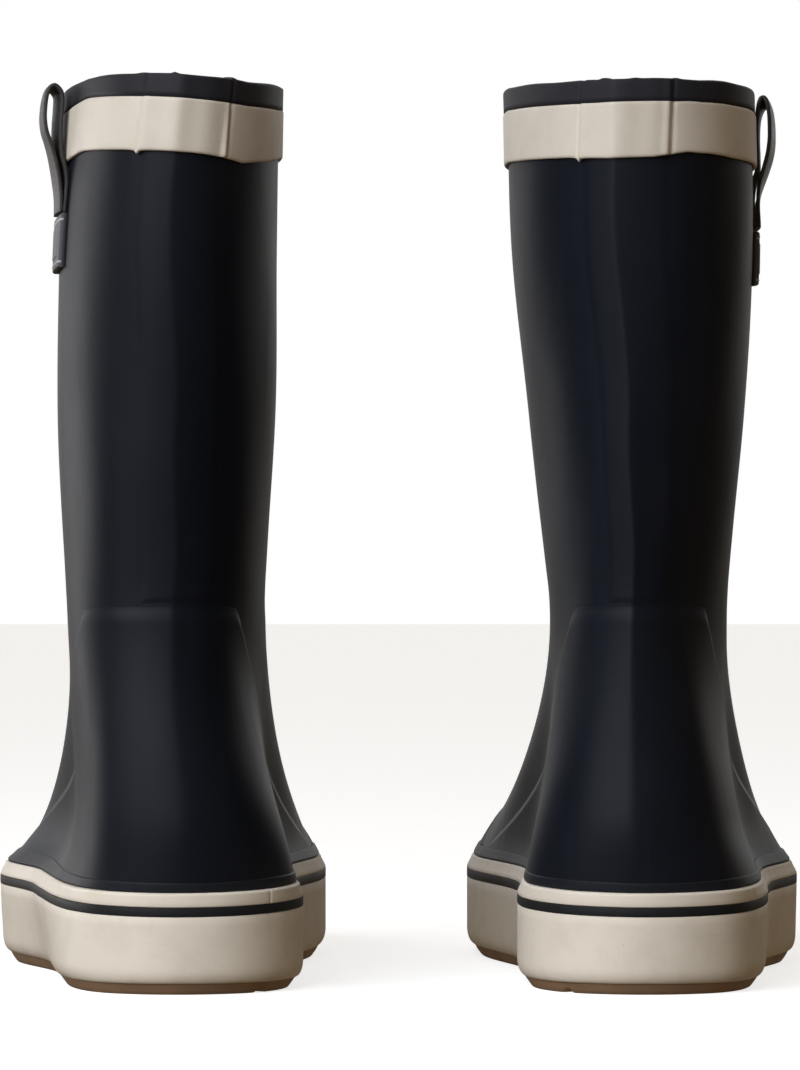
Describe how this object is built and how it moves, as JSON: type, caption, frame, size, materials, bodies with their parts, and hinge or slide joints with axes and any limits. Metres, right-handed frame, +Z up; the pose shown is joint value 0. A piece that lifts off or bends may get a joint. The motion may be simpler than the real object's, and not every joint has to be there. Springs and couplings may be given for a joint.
{
  "type": "deck boots",
  "caption": "Mid-calf waterproof rubber deck boots with knit lining, cream foxing and top band, gum siped soles, pull loops and removable footbeds; a left and a right.",
  "frame": {"origin": "on the ground, in the middle of the pair's bounding box", "axes": "+Z up, +Y towards the toes, +X towards the right boot's outer side"},
  "size_m": [0.2928, 0.3024, 0.3167],
  "materials": {
    "navy_rubber": "matte navy natural rubber with a soft satin sheen",
    "sidewall_rubber": "matte cream foxing rubber",
    "band_rubber": "matte cream rubber band",
    "stripe_rubber": "dark inlaid rubber line",
    "bumper_rubber": "matte dark navy rubber strip",
    "gum_sole": "matte gum rubber, razor siped",
    "binding_rubber": "matte dark rubber edge binding",
    "patch_rubber": "matte dark grey rubber patch",
    "loop_strap": "smooth dark brown-black strap",
    "knit_lining": "natural cotton knit lining",
    "footbed_foam": "cloth-topped foam footbed",
    "fibre_board": "pressed fibre insole board",
    "cork_filler": "cork composition filler",
    "sponge_rubber": "sponge rubber midsole"
  },
  "bodies": {
    "right_boot": {"right_outsole": "gum_sole", "right_sidewall": "sidewall_rubber", "right_pinstripe": "stripe_rubber", "right_bumper_strip": "bumper_rubber", "right_midsole": "sponge_rubber", "right_bottom_filler": "cork_filler", "right_insole_board": "fibre_board", "right_upper": "navy_rubber", "right_lining": "knit_lining", "right_heel_counter": "navy_rubber", "right_toe_guard": "navy_rubber", "right_back_stay": "navy_rubber", "right_top_band": "band_rubber", "right_rim_binding": "binding_rubber", "right_loop_patch": "patch_rubber"},
    "left_boot": {"left_outsole": "gum_sole", "left_sidewall": "sidewall_rubber", "left_pinstripe": "stripe_rubber", "left_bumper_strip": "bumper_rubber", "left_midsole": "sponge_rubber", "left_bottom_filler": "cork_filler", "left_insole_board": "fibre_board", "left_upper": "navy_rubber", "left_lining": "knit_lining", "left_heel_counter": "navy_rubber", "left_toe_guard": "navy_rubber", "left_back_stay": "navy_rubber", "left_top_band": "band_rubber", "left_rim_binding": "binding_rubber", "left_loop_patch": "patch_rubber"},
    "left_footbed": {"left_footbed": "footbed_foam"},
    "left_loop": {"left_pull_loop": "loop_strap"},
    "right_footbed": {"right_footbed": "footbed_foam"},
    "right_loop": {"right_pull_loop": "loop_strap"}
  },
  "joints": [
    {"name": "left_boot_lift", "type": "slide", "parent": "right_boot", "child": "left_boot", "axis": [0, 0, 1], "range_m": [0, 0.35]},
    {"name": "left_footbed_lift", "type": "slide", "parent": "left_boot", "child": "left_footbed", "axis": [0, 0, 1], "range_m": [0, 0.008]},
    {"name": "right_footbed_lift", "type": "slide", "parent": "right_boot", "child": "right_footbed", "axis": [0, 0, 1], "range_m": [0, 0.008]},
    {"name": "left_loop_swing", "type": "hinge", "parent": "left_boot", "child": "left_loop", "pos_m": [-0.11988, -0.09386, 0.27063], "axis": [0.163, -0.9865, -0.013], "range_deg": [0, 60], "stiffness_Nm_per_rad": 0.02},
    {"name": "right_loop_swing", "type": "hinge", "parent": "right_boot", "child": "right_loop", "pos_m": [0.12436, -0.08192, 0.26554], "axis": [-0.1185, 0.9879, -0.0999], "range_deg": [0, 60], "stiffness_Nm_per_rad": 0.02}
  ]
}
